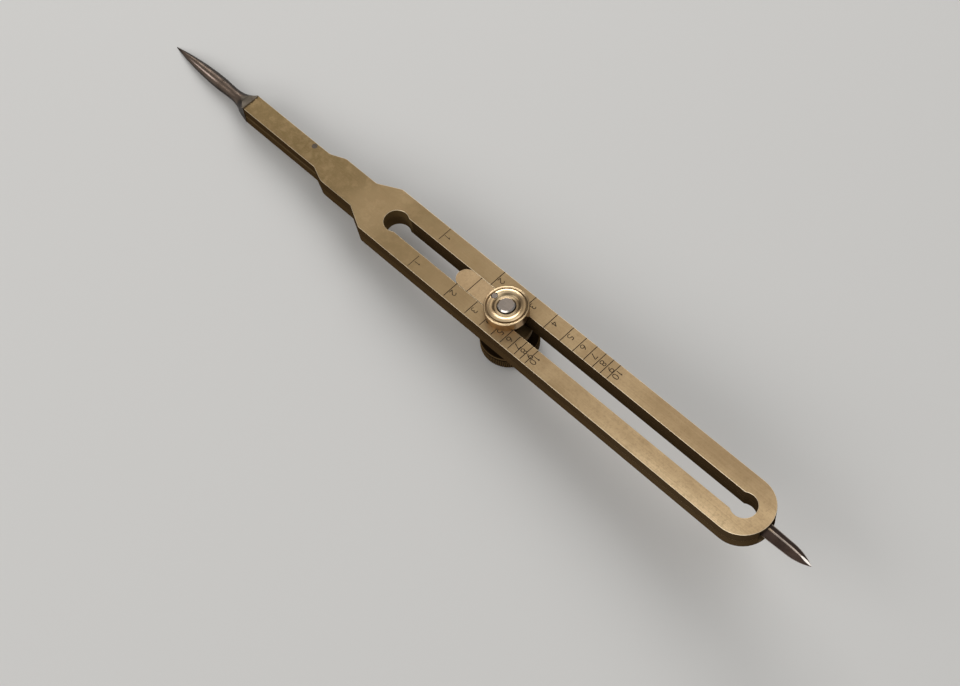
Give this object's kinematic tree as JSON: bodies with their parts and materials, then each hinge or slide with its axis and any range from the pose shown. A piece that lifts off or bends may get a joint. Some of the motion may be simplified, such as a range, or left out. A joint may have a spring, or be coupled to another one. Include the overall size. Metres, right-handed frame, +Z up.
{
  "type": "proportional dividers",
  "caption": "Brass proportional dividers: two slotted legs with steel points at both ends, joined by a sliding pivot carriage with a turned cap and a knurled thumb nut.",
  "frame": {"origin": "centre of the thumb nut's flat underside, on the pivot axis", "axes": "+X along the closed legs towards the short points, +Y towards the square-root scale's rail, +Z up from the thumb nut to the turned cap"},
  "size_m": [0.1715, 0.012, 0.0139],
  "materials": {
    "leg_brass": "satin, straight-grained, lightly tarnished",
    "turned_brass": "turned and polished, tarnished in the grooves",
    "point_steel": "dark, ground, worn bright at the tips",
    "pin_steel": "filed flush"
  },
  "bodies": {
    "lower_leg": {"lower_leg": "leg_brass", "lower_long_point": "point_steel", "lower_short_point": "point_steel"},
    "carriage": {"lower_slider": "leg_brass"},
    "swivel": {"upper_slider": "leg_brass", "clamp_stud": "pin_steel", "top_cap": "turned_brass", "cap_key_pin": "pin_steel"},
    "upper_leg": {"upper_leg": "leg_brass", "upper_long_point": "point_steel", "upper_short_point": "point_steel", "register_pin": "pin_steel"},
    "washer": {"friction_washer": "turned_brass"},
    "thumb_nut": {"thumb_nut": "turned_brass"}
  },
  "joints": [
    {"name": "carriage_slide", "type": "slide", "parent": "lower_leg", "child": "carriage", "axis": [1, 0, 0], "range_m": [-0.0195, 0.058]},
    {"name": "leg_opening", "type": "hinge", "parent": "carriage", "child": "swivel", "pos_m": [0, 0, 0.00905], "axis": [0, 0, -1], "range_deg": [0, 165]},
    {"name": "upper_leg_slide", "type": "slide", "parent": "swivel", "child": "upper_leg", "axis": [1, 0, 0], "range_m": [-0.058, 0.0195]},
    {"name": "nut_travel", "type": "slide", "parent": "swivel", "child": "washer", "axis": [0, 0, -1], "range_m": [0, 0.0005]},
    {"name": "nut_turn", "type": "hinge", "parent": "washer", "child": "thumb_nut", "pos_m": [0, 0, 0.003], "axis": [0, 0, -1], "range_deg": [0, 360]}
  ],
  "couplings": [
    {"joint": "upper_leg_slide", "follows": "carriage_slide", "ratio": -1},
    {"joint": "nut_turn", "follows": "nut_travel", "rad_per_m": 12566}
  ]
}
